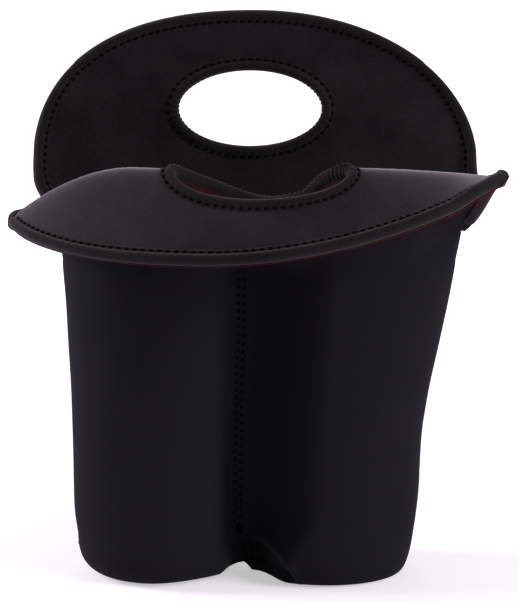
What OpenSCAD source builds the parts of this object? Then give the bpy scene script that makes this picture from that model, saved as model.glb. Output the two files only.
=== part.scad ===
// Two-pocket bottle carrier sewn from sheet neoprene.
// X runs to the right, Y to the back and Z up. The origin is on the floor, under the centre seam.
// The front panel's handle flap is folded over forwards and the back panel's flap stands up.
// Inner face means the face towards the space between the two panels.

/* [Pockets] */
// Half width of the left pocket side at the base, from the centre seam
left_base_w = 91.3; // [81:0.1:100]
// Half width of the left side at the mouth
left_mouth_w = 99.5; // [92:0.1:108]
// Half width of the right side at the base
right_base_w = 90; // [80:0.1:100]
// Half width of the right side at the mouth
right_mouth_w = 118; // [104:0.1:126]
// Depth of the pockets in front of the centre plane
front_depth = 43; // [38:0.1:48]
// Depth of the pockets behind the centre plane
back_depth = 43; // [38:0.1:48]
// Depth of the mouth in front of the centre plane
mouth_front = 34; // [30:0.1:38]
// Depth of the mouth behind the centre plane
mouth_back = 40; // [34:0.1:44]
// Height of the mouth, where the two side seams end
fold_h = 195; // [186:0.5:206]

/* [Base] */
// Height of the rounded bottom edge
round_h = 20; // [17:0.5:24]
// How far the bottom edge turns in
round_in = 14; // [11:0.5:17]
// Height of the notch between the two pockets
notch_h = 5; // [3:0.5:8]

/* [Centre seam] */
// Height where the centre seam starts
seam_low = 27; // [25:0.5:31]
// Height where the centre seam ends
seam_high = 171; // [164:0.5:175]
// Distance between the two rows of stitches
seam_rows = 3.5; // [2.5:0.1:5]
// Distance from one stitch to the next
stitch_pitch = 4.4; // [3.6:0.1:6]

/* [Flaps] */
// Half width of the folded front flap
front_flap_w = 129.5; // [126:0.5:134]
// How far the front flap lies to the left of the mouth
front_shift = 1; // [0:0.1:4]
// Half width of the standing back flap
back_flap_w = 121; // [118:0.5:125]
// How far the back flap stands to the left of the mouth
back_shift = 3; // [0:0.1:6]
// Height where the back flap is widest
back_wide_h = 230; // [225:0.5:235]
// Height of the back flap's top edge
back_top_h = 308; // [300:0.5:318]
// Height of the front flap's crest
crest_h = 237; // [232:0.5:242]
// Reach of the crest in front of the centre plane
crest_y = 76; // [70:0.5:80]
// Reach of the front flap's rim in front of the centre plane
rim_reach = 112; // [106:0.5:118]
// Height of the front rim at its lowest place
rim_low_h = 204.5; // [201:0.5:208]
// Height of the left end of the front flap
left_tip_h = 208; // [204:0.5:214]
// Height of the right end of the front flap
right_tip_h = 228; // [220:0.5:231]
// Reach of both ends of the front flap in front of the centre plane
tip_y = 38; // [34:0.5:42]

/* [Hand holes] */
// Half length of the front hand hole in the cloth
front_hole_w = 43.5; // [39:0.5:47]
// Half width of the front hand hole, seen from above
front_hole_d = 17.5; // [15:0.5:19]
// Half length of the back hand hole in the cloth
back_hole_w = 42; // [38:0.5:45]
// How far the back hand hole lies to the left of the back flap's middle
back_hole_shift = 2.6; // [0:0.1:5]
// Half height of the back hand hole in the cloth
back_hole_d = 23; // [20:0.2:25]
// Height of the middle of the back hand hole
back_hole_h = 255; // [252:0.5:258]

/* [Cloth] */
// Thickness of the neoprene sheet
sheet_t = 4; // [3.4:0.1:4.6]
// Thickness of the facing on the outer side of the flaps
facing_t = 1; // [0.8:0.1:1.3]
// How far the facing shows past the binding
facing_show = 1; // [0.6:0.1:1.6]
// Width of the edge binding
binding_w = 5.8; // [5.2:0.1:6.6]
// Thickness of the edge binding
binding_t = 0.8; // [0.6:0.05:1]
// Distance of the stitches from the edge
stitch_inset = 4.2; // [3.8:0.1:4.5]
// Thickness of the thread
thread_d = 1; // [0.7:0.05:1.2]

/* [Hidden] */

// Gap at each split between parts that move, and between layers that lie on each other
split_gap = 0.3;
layer_gap = 0.1;
binding_gap = 0.6;
// Half width of the flat strip under the centre seam
strip_w = 3;
// Height of one bartack and the size of its thread bar
bartack_h = 7;
bartack_t = 1.2;
corner_tack_h = 9;
corner_tack_w = 4;
corner_tack_drop = 3;
stitch_l = 3;
side_stitch_y = 1.8;
base_stitch_in = 3;
// Radius of the fold along the crest of the front flap
fold_r = 10;
// Lowest place of the front rim, left of the flap's middle
rim_low_x = -30;
// Places where the crest starts to drop towards its two ends
left_droop_x = -60;
right_droop_x = 50;
// Inner depth of the back flap's middle at its top, and lean of its sides
back_top_y = 44;
side_lean_share = 0.5;
// Shapes of curves, as plain numbers
left_flare_power = 2.6;
right_flare_power = 1.5;
depth_power = 3;
mouth_power = 2.2;
left_droop_power = 1.7;
right_droop_power = 1.5;
edge_power = 0.8;
valley_share = 0.13;
// Share of the bottom edge's turn that is left where it meets the centre seam
inner_turn_share = 0.4;
tip_share = 0.998;
// Counts of facets
pocket_steps = 16;
web_steps = 4;
round_steps = 4;
row_shares = [0.13, 0.28, 0.44, 0.6, 0.72, 0.81, 0.87, 0.92, 0.96, 1];
hole_steps = 14;
arm_steps = 6;
end_steps = 7;
collar_shares = [0, 0.24, 0.43, 0.58, 0.7, 0.8, 0.9, 1];
brim_shares = [0, 0.12, 0.26, 0.42, 0.6, 0.8, 1];
back_rows = 5;
side_thread_steps = 14;

// Middle and half width of the mouth, and of both flaps
mouth_x = (right_mouth_w - left_mouth_w) / 2;
mouth_w = (right_mouth_w + left_mouth_w) / 2;
half_gap = split_gap / 2;
facing_h = sheet_t + binding_t + 3 * binding_gap;
thread_h = layer_gap + thread_d / 2;
// Height over the flap of the stitches that lie on the binding
row_h = binding_gap + binding_t + 2 * layer_gap + thread_d / 2;

function clamp(s) = min(1, max(0, s));
function smooth(s) = clamp(s) * clamp(s) * (3 - 2 * clamp(s));
function mix(a, b, s) = a + (b - a) * s;

// Pockets
// side is -1 for left and 1 for right, face is -1 for the front and 1 for the back
function side_w(side, z) = side < 0
    ? left_base_w + (left_mouth_w - left_base_w) * pow(clamp(z / fold_h), left_flare_power)
    : right_base_w + (right_mouth_w - right_base_w) * pow(clamp(z / fold_h), right_flare_power);
function low_depth(face) = face < 0 ? front_depth : back_depth;
function mouth_depth(face) = face < 0 ? mouth_front : mouth_back;
function depth(face, z) =
    low_depth(face) + (mouth_depth(face) - low_depth(face)) * pow(clamp(z / fold_h), depth_power);

// Depth of the open mouth at x, measured to the sheet's inner face
function mouth_arc(face, x, z) =
    let (middle = (side_w(1, z) - side_w(-1, z)) / 2)
    let (half = (side_w(1, z) + side_w(-1, z)) / 2)
    (depth(face, z) - sheet_t) * (1 - pow(min(1, abs(x - middle) / half), mouth_power));

// A point on a pocket's wall: phi runs from the centre seam at 0 to the side seam at 180
function pocket_point(side, face, phi, z, inset, outer) =
    let (a = (side_w(side, z) - strip_w) / 2)
    let (open = smooth((z - seam_high) / (fold_h - seam_high)))
    let (valley = smooth((1 - cos(phi)) / 2 / valley_share))
    let (d = depth(face, z))
    let (scale_y = (d - inset) / d)
    let (round_y = outer
        ? sheet_t * pow(cos(phi / 2), 2) + (d - sheet_t / 2) * sin(phi) * valley
        : (d - sheet_t) * sin(phi) * valley)
    let (wall_x = outer ? 0 : sheet_t * cos(phi) * valley * (1 - open))
    let (turned_in = inset * mix(1, inner_turn_share, pow(cos(phi / 2), 4)))
    let (x = side * (strip_w + a - (a - turned_in) * cos(phi) + wall_x))
    let (arc_y = mouth_arc(face, x, z) + (outer ? sheet_t : 0))
    [x, face * mix(round_y * scale_y, arc_y, open), z];

// Rows of the wall: [height, how far it turns in]
function round_row(k) = [round_h * (1 - cos(90 * k / round_steps)), round_in * (1 - sin(90 * k / round_steps))];
wall_rows = concat([for (k = [0 : round_steps]) round_row(k)],
    [for (s = row_shares) [mix(round_h, fold_h - half_gap, s), 0]]);

// The inner face of the turned-in bottom lies one sheet higher, its lowest edge right over the outer one
function inner_row(row) = row[0] >= round_h ? row
    : [sheet_t + row[0] * (round_h - sheet_t) / round_h, row[1] * (round_in - sheet_t) / round_in];

inner_foot_w = strip_w + round_in * inner_turn_share;
function raised(p) = [p[0], p[1],
    p[2] + notch_h * (1 - clamp(p[2] / seam_low)) * (1 - smooth(abs(p[0]) / inner_foot_w))];

// One row of points from the left side seam to the right one
function wall_line(face, row, outer) =
    let (left = [for (k = [pocket_steps : -1 : 0])
        pocket_point(-1, face, 180 * k / pocket_steps, row[0], row[1], outer)])
    let (right = [for (k = [0 : pocket_steps])
        pocket_point(1, face, 180 * k / pocket_steps, row[0], row[1], outer)])
    concat(left, [for (k = [1 : web_steps - 1]) mix(left[pocket_steps], right[0], k / web_steps)], right);

function outer_wall(face) = [for (row = wall_rows) [for (p = wall_line(face, row, true)) raised(p)]];
// Between the pockets the two inner faces meet in the centre plane
function lowest_inner_line(face) =
    let (line = wall_line(face, wall_rows[0], true))
    [for (k = [0 : len(line) - 1])
        [line[k][0], k < pocket_steps || k > pocket_steps + web_steps ? line[k][1] : 0, sheet_t]];
function inner_wall(face) = [for (k = [0 : len(wall_rows) - 1])
    [for (p = k == 0 ? lowest_inner_line(face) : wall_line(face, inner_row(wall_rows[k]), false)) raised(p)]];

// A closed solid between two grids of points of the same size
module slab(top, under, loop = false, flip = false) {
    rows = len(top);
    cols = len(top[0]);
    last = loop ? cols - 1 : cols - 2;
    base = rows * cols;
    function at(r, c) = r * cols + c % cols;
    function two(a, b, c, d) = flip ? [[a, b, c], [a, c, d]] : [[a, c, b], [a, d, c]];
    faces = concat(
        [for (r = [0 : rows - 2]) for (c = [0 : last])
            for (f = two(at(r, c), at(r, c + 1), at(r + 1, c + 1), at(r + 1, c))) f],
        [for (r = [0 : rows - 2]) for (c = [0 : last])
            for (f = two(base + at(r, c), base + at(r + 1, c),
                base + at(r + 1, c + 1), base + at(r, c + 1))) f],
        [for (c = [0 : last]) for (f = two(base + at(0, c), base + at(0, c + 1), at(0, c + 1), at(0, c))) f],
        [for (c = [0 : last])
            for (f = two(at(rows - 1, c), at(rows - 1, c + 1),
                base + at(rows - 1, c + 1), base + at(rows - 1, c))) f],
        loop ? [] : [for (r = [0 : rows - 2])
            for (f = two(at(r, 0), at(r + 1, 0), base + at(r + 1, 0), base + at(r, 0))) f],
        loop ? [] : [for (r = [0 : rows - 2])
            for (f = two(at(r, cols - 1), base + at(r, cols - 1),
                base + at(r + 1, cols - 1), at(r + 1, cols - 1))) f]);
    points = concat([for (line = top) each line], [for (line = under) each line]);
    polyhedron(points, faces, convexity = 8);
}

// Triangles that close the end of a four-sided thread and of a U-shaped binding
thread_cap = [[0, 1, 2], [0, 2, 3]];
flange_shares = [1, 0.67, 0.33];
binding_cap = [for (k = [0 : 6]) each [[k, k + 1, 14 - k], [k, 14 - k, 15 - k]]];

// A closed solid through rings of points; the ends are capped unless it loops
module swept(rings, loop = false, cap = thread_cap, flip = true) {
    n = len(rings[0]);
    count = len(rings);
    last = loop ? count - 1 : count - 2;
    function at(r, k) = (r % count) * n + k % n;
    sides = [for (r = [0 : last]) for (k = [0 : n - 1])
        each [[at(r, k), at(r, k + 1), at(r + 1, k + 1)], [at(r, k), at(r + 1, k + 1), at(r + 1, k)]]];
    caps = loop ? [] : [for (f = cap)
        each [[at(0, f[2]), at(0, f[1]), at(0, f[0])],
            [at(count - 1, f[0]), at(count - 1, f[1]), at(count - 1, f[2])]]];
    faces = [for (f = concat(sides, caps)) flip ? [f[0], f[2], f[1]] : f];
    polyhedron([for (ring = rings) each ring], faces, convexity = 8);
}

module wall(face) {
    slab(outer_wall(face), inner_wall(face), flip = face > 0);
}

// Outline of a pocket's flat bottom
function base_outline(side) = concat(
    [for (k = [0 : pocket_steps]) pocket_point(side, -1, 180 * k / pocket_steps, 0, round_in, true)],
    [for (k = [pocket_steps - 1 : -1 : 0]) pocket_point(side, 1, 180 * k / pocket_steps, 0, round_in, true)]);

module base(side) {
    linear_extrude(height = sheet_t) polygon([for (p = base_outline(side)) [p[0], p[1]]]);
}

// Stitch bars of the centre seam, on the front or the back
module centre_stitches(face) {
    count = floor((seam_high - seam_low) / stitch_pitch) - 1;
    for (row = [-1, 1], k = [0 : count - 1])
        translate([row * seam_rows / 2, face * (sheet_t + thread_h), seam_low + (k + 0.5) * stitch_pitch])
            cube([thread_d, thread_d, stitch_l], center = true);
}

// Short dense bars across the lower end of the centre seam, on both faces
module centre_bartacks() {
    for (face = [-1, 1])
        translate([0, face * (sheet_t + layer_gap + bartack_t / 2), seam_low - bartack_h / 2])
            cube([seam_rows + thread_d, bartack_t, bartack_h], center = true);
}

// A thread's four-sided section at p, between the directions u and v
function thread_ring(p, u, v) = [for (d = [u, v, -u, -v]) p + d * thread_d / 2];

module side_stitches(side) {
    for (row = [-1, 1])
        swept([for (k = [0 : side_thread_steps])
            let (z = mix(round_h, seam_high, k / side_thread_steps))
            let (lift = side_w(side, z) + thread_h)
            thread_ring([side * lift, row * side_stitch_y, z], [1, 0, 0], [0, 1, 0])]);
}

// Seam that joins the flat bottom to the walls, on the inside
module base_stitches(side) {
    outline = base_outline(side);
    middle = [side * (strip_w + (side_w(side, 0) - strip_w) / 2), 0, 0];
    shrink = 1 - base_stitch_in / (front_depth - round_in);
    ring = [for (p = outline) middle + ([p[0], p[1], 0] - middle) * shrink + [0, 0, sheet_t + thread_h]];
    swept([for (p = ring) thread_ring(p, unit([p[0] - middle[0], p[1], 0]), [0, 0, 1])],
        loop = true, flip = side < 0);
}

module corner_bartack(side) {
    translate([side * (side_w(side, fold_h) + bartack_t / 2 + layer_gap), 0,
        fold_h - corner_tack_drop - corner_tack_h / 2])
        cube([bartack_t, corner_tack_w * 2, corner_tack_h], center = true);
}

function unit(v) = v / norm(v);

// Front flap, seen from above: x is measured from the middle of the mouth, y is negative towards the front
function crest_line(x) = -tip_y - (crest_y - tip_y) * (1 - pow(min(1, abs(x) / front_flap_w), 2));
function rim_line(x, out = 0) =
    -tip_y - (rim_reach + out - tip_y) * sqrt(max(0, 1 - pow(x / (front_flap_w + out), 2)));
function base_line(x) = -half_gap - (mouth_front - sheet_t) * (1 - pow(min(1, abs(x) / mouth_w), mouth_power));
function side_line(x) =
    let (u = clamp((abs(x) - mouth_w) / (front_flap_w - mouth_w)))
    -half_gap - (tip_y - half_gap) * pow(1 - sqrt(1 - u * u), edge_power);
function rear_line(x) = abs(x) < mouth_w ? base_line(x) : side_line(x);
function droop(share, power) = pow(max(0, share), power);
function crest_height(x) = crest_h
    - (crest_h - left_tip_h) * droop((left_droop_x - x) / (front_flap_w + left_droop_x), left_droop_power)
    - (crest_h - right_tip_h) * droop((x - right_droop_x) / (front_flap_w - right_droop_x), right_droop_power);
function rim_height(x) =
    let (tip_h = x < rim_low_x ? left_tip_h : right_tip_h)
    let (run = x < rim_low_x ? front_flap_w + rim_low_x : front_flap_w - rim_low_x)
    rim_low_h + (tip_h - rim_low_h) * pow(abs(x - rim_low_x) / run, 2);
function fold_drop(d) = sqrt(d * d + fold_r * fold_r) - fold_r;

// Height of the front flap's inner face, which is its upper face
function front_height(x, y) =
    let (d = crest_line(x) - y)
    let (top = crest_height(x))
    let (fore_run = max(fold_r, crest_line(x) - rim_line(x)))
    let (rear_run = max(fold_r, base_line(x) - crest_line(x)))
    top - fold_drop(d) * (d > 0 ? (top - rim_height(x)) / fold_drop(fore_run)
        : (top - fold_h - half_gap) / fold_drop(rear_run));

function slope(flap, q, way) =
    let (step = way * layer_gap)
    let (a = q - step)
    let (b = q + step)
    (flap == "back" ? back_depth_at(b[0], b[1]) - back_depth_at(a[0], a[1])
        : front_height(b[0], b[1]) - front_height(a[0], a[1])) / (2 * layer_gap);
function steepness(flap, q) = norm([1, slope(flap, q, [1, 0]), slope(flap, q, [0, 1])]);

// Back flap, seen from the front: x as above and z up; its inner face lies at this depth
function back_half(z) = mix(mouth_w, back_flap_w, smooth((z - fold_h) / (back_wide_h - fold_h)));
function back_middle(z) = mouth_x - back_shift * smooth((z - fold_h) / (back_wide_h - fold_h));
function back_depth_at(x, z) =
    let (s = (z - fold_h) / (back_top_h - fold_h))
    let (middle = mix(mouth_back - sheet_t, back_top_y, s))
    let (side = min(middle, half_gap + side_lean_share * (z - fold_h)))
    mix(middle, side, pow(abs(x) / back_half(z), mouth_power));

// A point of a flap at height h from the inner face towards the outer one
function front_middle(y) = mouth_x - front_shift * smooth(-y / tip_y);
function flap_point(flap, q, h) = flap == "back"
    ? [back_middle(q[1]) + q[0], back_depth_at(q[0], q[1]) + h * steepness(flap, q), q[1]]
    : let (down = smooth((base_line(q[0]) - q[1]) / (3 * sheet_t)))
        [front_middle(q[1]) + q[0], q[1] - h * (1 - down), front_height(q[0], q[1]) - h * down * steepness(flap, q)];

// The front flap is split along a straight line in front of its crest, where the brim turns
split_x = front_flap_w * sqrt(1 - pow((crest_y - tip_y) / (rim_reach - tip_y), 2));

// Edge of the hand hole and the split beside it: part is 1 for the brim and -1 for the collar
function hole_line(x, part) =
    -crest_y - part * half_gap - part * front_hole_d * sqrt(max(0, 1 - pow(x / front_hole_w, 2)));

function hole_xs() = [for (k = [-hole_steps / 2 : hole_steps / 2]) front_hole_w * sin(180 * k / hole_steps)];
function arm_xs(to) = [for (k = [1 : arm_steps]) mix(front_hole_w, to, k / arm_steps)];
function mirrored(xs) = concat([for (k = [len(xs) - 1 : -1 : 0]) -xs[k]], hole_xs(), xs);

collar_near = min(mouth_w, split_x);
collar_far = max(mouth_w, split_x);
end_xs = [for (k = [1 : end_steps]) mix(collar_far, front_flap_w * tip_share, sin(90 * k / end_steps))];
collar_xs = mirrored(concat(arm_xs(collar_near), [collar_far], end_xs));
brim_end_shares = [0.2, 0.4, 0.58, 0.74, 0.86, 0.94, 0.985];
brim_xs = mirrored([for (s = brim_end_shares) mix(front_hole_w, split_x, s)]);

function lines_between(xs, shares, h, from, to) = [for (s = shares)
    [for (k = [0 : len(xs) - 1]) flap_point("front", [xs[k], mix(from[k], to[k], s)], h)]];

module front_part(xs, shares, from, to, h_in, h_out) {
    slab(lines_between(xs, shares, h_in, from, to), lines_between(xs, shares, h_out, from, to), flip = true);
}

collar_from = [for (x = collar_xs) rear_line(x)];
collar_to = [for (x = collar_xs) abs(x) < split_x ? hole_line(x, -1) : rim_line(x)];
brim_from = [for (x = brim_xs) hole_line(x, 1)];
brim_to = [for (x = brim_xs) rim_line(x)];
brim_facing_to = [for (x = brim_xs) rim_line(x, binding_t + layer_gap + facing_show)];

// Outward-pointing normals of a line of flat points, on its right-hand side
function turned(v) = [v[1], -v[0]];
function normals(line, loop) = [for (k = [0 : len(line) - 1])
    let (a = loop ? line[(k + len(line) - 1) % len(line)] : line[max(0, k - 1)])
    let (b = loop ? line[(k + 1) % len(line)] : line[min(len(line) - 1, k + 1)])
    unit(turned(b - a))];

// Flat inset of a length measured on the cloth
function on_cloth(flap, q, n, length) =
    n * length / norm([1, slope(flap, q, n)]);

// A point of the brim stays in front of the split by a length, and one of the collar behind it
function kept(flap, q, by = 0) = flap == "brim" ? [q[0], min(q[1], -crest_y - half_gap - by)]
    : flap == "collar" ? [q[0], max(q[1], -crest_y + half_gap + by)] : q;
mitre_share = 0.4;
function mitre_off(flap, q) = flap == "back" ? 0 : mitre_share * max(0, abs(q[1] + crest_y) - half_gap);

// Binding section at q: n points out of the cloth
function binding_ring(flap, q, n) =
    let (flange = [for (s = flange_shares)
        kept(flap, q - on_cloth(flap, q, n, s * binding_w), mitre_off(flap, q))])
    let (inside = concat(flange, [kept(flap, q + n * binding_gap)]))
    let (outside = concat(flange, [kept(flap, q + n * (binding_gap + binding_t))]))
    let (low = -binding_gap)
    let (high = sheet_t + binding_gap)
    concat([for (k = [0 : 3]) flap_point(flap, outside[k], low - binding_t)],
        [for (k = [3 : -1 : 0]) flap_point(flap, outside[k], high + binding_t)],
        [for (k = [0 : 3]) flap_point(flap, inside[k], high)],
        [for (k = [3 : -1 : 0]) flap_point(flap, inside[k], low)]);

// At a split the section is mitred so that it lies along the split line
function mitred(n) = [1 / n[0], 0];

module binding(flap, line, loop = false, mitre_first = false, mitre_last = false) {
    ns = normals(line, loop);
    last = len(line) - 1;
    swept([for (k = [0 : last])
        binding_ring(flap, line[k], k == 0 && mitre_first || k == last && mitre_last ? mitred(ns[k]) : ns[k])],
        loop, binding_cap);
}

module thread(flap, line, inset, loop = false) {
    ns = normals(line, loop);
    swept([for (k = [0 : len(line) - 1])
        let (q = line[k] - on_cloth(flap, line[k], ns[k], inset))
        let (wide = ns[k] * thread_d / 2)
        if (kept(flap, q - 2 * wide) == q - 2 * wide && kept(flap, q + 2 * wide) == q + 2 * wide)
            [flap_point(flap, q + wide, -row_h), flap_point(flap, q, -row_h + thread_d / 2),
                flap_point(flap, q - wide, -row_h), flap_point(flap, q, -row_h - thread_d / 2)]], loop);
}

// Lines of the front flap's edges; each has the cloth on its left-hand side
side_bind_share = 0.62;
function end_side(sign) = [for (k = [0 : end_steps + 1])
    let (near = mix(mouth_w, front_flap_w, side_bind_share))
    let (x = sign * mix(front_flap_w * tip_share, near, k / (end_steps + 1)))
    [x, side_line(x)]];
function end_rim(sign) = concat([[sign * split_x, -crest_y + half_gap]],
    [for (x = end_xs) [sign * x, rim_line(x)]]);
right_end = concat(end_rim(1), end_side(1));
left_end = [for (k = [len(right_end) - 1 : -1 : 0]) [-right_end[k][0], right_end[k][1]]];
rim_edge = [for (k = [0 : len(brim_xs) - 1]) [brim_xs[k], brim_to[k]]];
function hole_edge(part) = [for (k = [0 : hole_steps])
    let (x = front_hole_w * cos(180 * k / hole_steps)) [x, hole_line(x, part)]];
hole_fore = hole_edge(1);
hole_rear = [for (k = [hole_steps : -1 : 0]) hole_edge(-1)[k]];

// Outline of the back flap from its right lower corner round the top to the left one
back_side_steps = 5;
back_arc_steps = 26;
function back_half_outline(out) = [for (k = [0 : back_side_steps - 1])
    let (z = mix(fold_h + half_gap, back_wide_h, k / back_side_steps)) [back_half(z) + out, z]];
function back_edge(out) = concat(back_half_outline(out),
    [for (k = [0 : back_arc_steps]) [(back_flap_w + out) * cos(180 * k / back_arc_steps),
        back_wide_h + (back_top_h - back_wide_h + out) * sin(180 * k / back_arc_steps)]],
    [for (k = [back_side_steps - 1 : -1 : 0]) [-back_half_outline(out)[k][0], back_half_outline(out)[k][1]]]);
back_base_steps = 15;
function back_outline(out) =
    let (edge = back_edge(out))
    let (corner = edge[0])
    concat(edge, [for (k = [1 : back_base_steps])
        [mix(-corner[0], corner[0], k / (back_base_steps + 1)), corner[1]]]);
function back_hole_ring(outline, out) = [for (p = outline)
    let (a = atan2((p[1] - back_hole_h) / back_hole_d, p[0] / back_hole_w))
    [(back_hole_w + out) * cos(a) - back_hole_shift, back_hole_h + (back_hole_d + out) * sin(a)]];

module back_part(out, hole_out, h_in, h_out) {
    edge = back_outline(out);
    hole = back_hole_ring(edge, hole_out);
    function grid(h) = [for (r = [0 : back_rows])
        [for (k = [0 : len(edge) - 1]) flap_point("back", mix(hole[k], edge[k], r / back_rows), h)]];
    slab(grid(h_in), grid(h_out), loop = true, flip = true);
}

function back_hole_edge() = [for (k = [0 : 2 * hole_steps - 1])
    [back_hole_w * cos(180 * k / hole_steps) - back_hole_shift,
        back_hole_h - back_hole_d * sin(180 * k / hole_steps)]];
// The binding and stitches of the back flap stop short of the corners, where the cloth is seamed
back_bind = [for (k = [1 : len(back_edge(0)) - 2]) back_edge(0)[k]];

module front_panel() { color("#17181d") wall(-1); }
module back_panel() { color("#17181d") wall(1); }
module left_base() { color("#17181d") base(-1); }
module right_base() { color("#17181d") base(1); }
module centre_seam_stitching_front() { color("#2b2d35") centre_stitches(-1); }
module centre_seam_stitching_back() { color("#2b2d35") centre_stitches(1); }
module centre_seam_bartacks() { color("#2b2d35") centre_bartacks(); }
module left_side_seam_stitching() { color("#2b2d35") side_stitches(-1); }
module right_side_seam_stitching() { color("#2b2d35") side_stitches(1); }
module left_base_stitching() { color("#2b2d35") base_stitches(-1); }
module right_base_stitching() { color("#2b2d35") base_stitches(1); }
module left_corner_bartack() { color("#2b2d35") corner_bartack(-1); }
module right_corner_bartack() { color("#2b2d35") corner_bartack(1); }
module front_collar() {
    color("#34302f") front_part(collar_xs, collar_shares, collar_from, collar_to, 0, sheet_t);
}
module front_collar_facing() {
    color("#5e1a26")
        front_part(collar_xs, collar_shares, collar_from, collar_to, facing_h, facing_h + facing_t);
}
module front_collar_binding_left() { color("#2a2827") binding("collar", left_end, mitre_last = true); }
module front_collar_binding_right() { color("#2a2827") binding("collar", right_end, mitre_first = true); }
module front_hole_binding_rear() {
    color("#2a2827") binding("collar", hole_rear, mitre_first = true, mitre_last = true);
}
module front_collar_stitching() {
    color("#8a8580") {
        thread("collar", left_end, stitch_inset);
        thread("collar", right_end, stitch_inset);
        thread("collar", hole_rear, stitch_inset);
    }
}
module front_brim() { color("#34302f") front_part(brim_xs, brim_shares, brim_from, brim_to, 0, sheet_t); }
module front_brim_facing() {
    color("#5e1a26") front_part(brim_xs, brim_shares, brim_from, brim_facing_to, facing_h, facing_h + facing_t);
}
module front_brim_binding() {
    color("#2a2827") binding("brim", rim_edge, mitre_first = true, mitre_last = true);
}
module front_hole_binding_fore() {
    color("#2a2827") binding("brim", hole_fore, mitre_first = true, mitre_last = true);
}
module front_brim_stitching() { color("#8a8580") thread("brim", rim_edge, stitch_inset); }
module front_hole_stitching() { color("#8a8580") thread("brim", hole_fore, stitch_inset); }
module back_flap() { color("#34302f") back_part(0, 0, 0, sheet_t); }
module back_flap_facing() {
    color("#5e1a26") back_part(facing_show + binding_t + layer_gap, 0, facing_h, facing_h + facing_t);
}
module back_flap_binding() { color("#2a2827") binding("back", back_bind); }
module back_hole_binding() { color("#2a2827") binding("back", back_hole_edge(), loop = true); }
module back_flap_stitching() { color("#8a8580") thread("back", back_bind, stitch_inset); }
module back_hole_stitching() { color("#8a8580") thread("back", back_hole_edge(), stitch_inset, loop = true); }

front_panel();
back_panel();
left_base();
right_base();
centre_seam_stitching_front();
centre_seam_stitching_back();
centre_seam_bartacks();
left_side_seam_stitching();
right_side_seam_stitching();
left_base_stitching();
right_base_stitching();
left_corner_bartack();
right_corner_bartack();
front_collar();
front_collar_facing();
front_collar_binding_left();
front_collar_binding_right();
front_hole_binding_rear();
front_collar_stitching();
front_brim();
front_brim_facing();
front_brim_binding();
front_hole_binding_fore();
front_brim_stitching();
front_hole_stitching();
back_flap();
back_flap_facing();
back_flap_binding();
back_hole_binding();
back_flap_stitching();
back_hole_stitching();
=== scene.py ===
import math
import bpy
import numpy as np
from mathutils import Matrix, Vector
from mathutils.geometry import delaunay_2d_cdt


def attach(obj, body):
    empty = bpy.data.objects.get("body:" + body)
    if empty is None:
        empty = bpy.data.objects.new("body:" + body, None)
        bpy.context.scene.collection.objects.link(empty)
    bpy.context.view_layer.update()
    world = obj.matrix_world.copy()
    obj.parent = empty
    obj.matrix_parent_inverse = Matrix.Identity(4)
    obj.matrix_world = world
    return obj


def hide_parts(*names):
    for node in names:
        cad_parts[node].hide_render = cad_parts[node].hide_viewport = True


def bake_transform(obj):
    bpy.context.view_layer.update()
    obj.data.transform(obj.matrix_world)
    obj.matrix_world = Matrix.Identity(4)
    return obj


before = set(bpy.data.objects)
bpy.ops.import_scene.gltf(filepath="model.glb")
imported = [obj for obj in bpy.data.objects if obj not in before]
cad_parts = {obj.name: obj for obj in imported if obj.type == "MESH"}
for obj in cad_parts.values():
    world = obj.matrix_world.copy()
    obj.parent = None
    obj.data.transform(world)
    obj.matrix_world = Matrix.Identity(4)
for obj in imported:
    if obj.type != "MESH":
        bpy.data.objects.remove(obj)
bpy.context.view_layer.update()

MM = 0.001
FRONT, BACK = -1.0, 1.0
SIDES = (("left", -1), ("right", 1))

# The carrier's main sizes, in millimetres. Soft edges follow the photograph closer than the solids do
LEFT_MOUTH_W, RIGHT_MOUTH_W = 100.7, 119.4
# How far the side seams stand out from the centre seam, at a few heights
SIDE_HEIGHTS = (0, 9, 18, 26, 35, 50, 66, 83, 107, 131, 154, 174, 195)
LEFT_SIDE = (94.2, 93.8, 92.6, 93.5, 95.0, 95.2, 95.2, 95.4, 95.8, 97.0, 97.9, 99.4, LEFT_MOUTH_W)
RIGHT_SIDE = (94.0, 93.6, 94.5, 95.8, 97.0, 98.4, 98.7, 99.6, 103.3, 108.4, 113.1, 116.6, RIGHT_MOUTH_W)
LOW_DEPTH = 43.0
FRONT_MOUTH_DEPTH, BACK_MOUTH_DEPTH = 34.0, 40.0
FOLD_H = 195.0
ROUND_H, ROUND_IN = 20.0, 14.0
INNER_TURN, RIGHT_INNER_TURN = 0.25, 0.05
LEFT_TURN, RIGHT_TURN = 1.25, 0.55
NOTCH_H = 5.0
SEAM_LOW, SEAM_HIGH = 27.0, 171.0
SEAM_ROWS, SEAM_LEAN = 3.0, 2.8
STRIP = 3.0
SHEET = 4.0
VALLEY_SHARE, RIGHT_VALLEY_SHARE = 0.13, 0.42
MOUTH_X = (RIGHT_MOUTH_W - LEFT_MOUTH_W) / 2
MOUTH_W = (RIGHT_MOUTH_W + LEFT_MOUTH_W) / 2
HALF_GAP = 0.15
FLAP_W = 130.3
FRONT_SHIFT = 2.7
BACK_W = 121.0
BACK_SHIFT = 3.0
BACK_HOLE_SHIFT = 2.6
BACK_WIDE_H, BACK_TOP_H = 230.0, 308.8
LEFT_FULLNESS, RIGHT_FULLNESS = 2.32, 2.02
CREST_H, CREST_Y = 237.0, 76.0
RIM_REACH, RIM_LOW_H = 112.0, 195.3
LEFT_TIP_H, RIGHT_TIP_H, TIP_Y = 205.6, 228.0, 38.0
RIM_LOW_X = -30.0
LEFT_DROOP_X, RIGHT_DROOP_X = -62.0, 50.0
FOLD_R = 10.0
BACK_TOP_Y, SIDE_LEAN = 44.0, 0.5
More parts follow.
